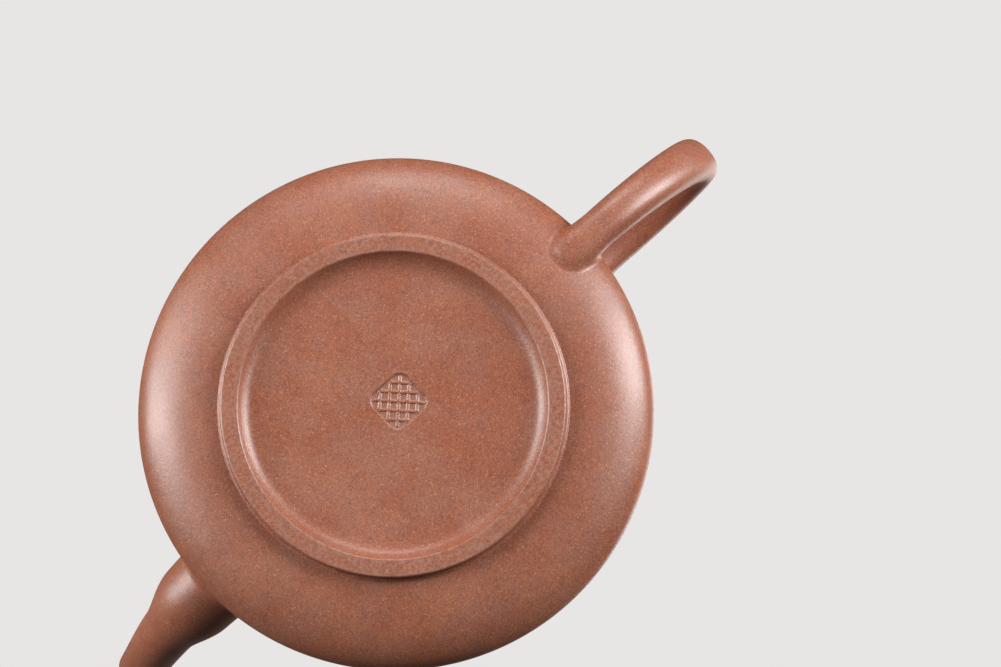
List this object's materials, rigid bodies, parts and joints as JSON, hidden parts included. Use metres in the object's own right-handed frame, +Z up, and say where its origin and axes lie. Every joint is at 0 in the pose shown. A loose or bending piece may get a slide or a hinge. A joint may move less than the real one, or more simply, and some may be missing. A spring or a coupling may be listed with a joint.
{
  "type": "teapot",
  "caption": "Flat round clay teapot with a short curved spout, a loop handle and a domed lift-off lid with a bridge knob.",
  "frame": {"origin": "centre of the foot ring's ground face, on the table", "axes": "+Z up through the lid, +X towards the spout, -X towards the handle"},
  "size_m": [0.1663, 0.1054, 0.0679],
  "materials": {
    "clay": "unglazed, with a soft satin sheen",
    "clay_foot": "unglazed, ground flat and a little greyed by wear"
  },
  "bodies": {
    "pot": {"base_plate": "clay", "foot_ring": "clay_foot", "body_wall": "clay", "top_plate": "clay", "mouth_collar": "clay", "strainer": "clay", "spout": "clay", "handle": "clay"},
    "lid": {"lid_plate": "clay", "lid_cap": "clay", "lid_skirt": "clay", "knob": "clay"}
  },
  "joints": [
    {"name": "lid_lift", "type": "slide", "parent": "pot", "child": "lid", "axis": [0, 0, 1], "range_m": [0, 0.04]}
  ]
}
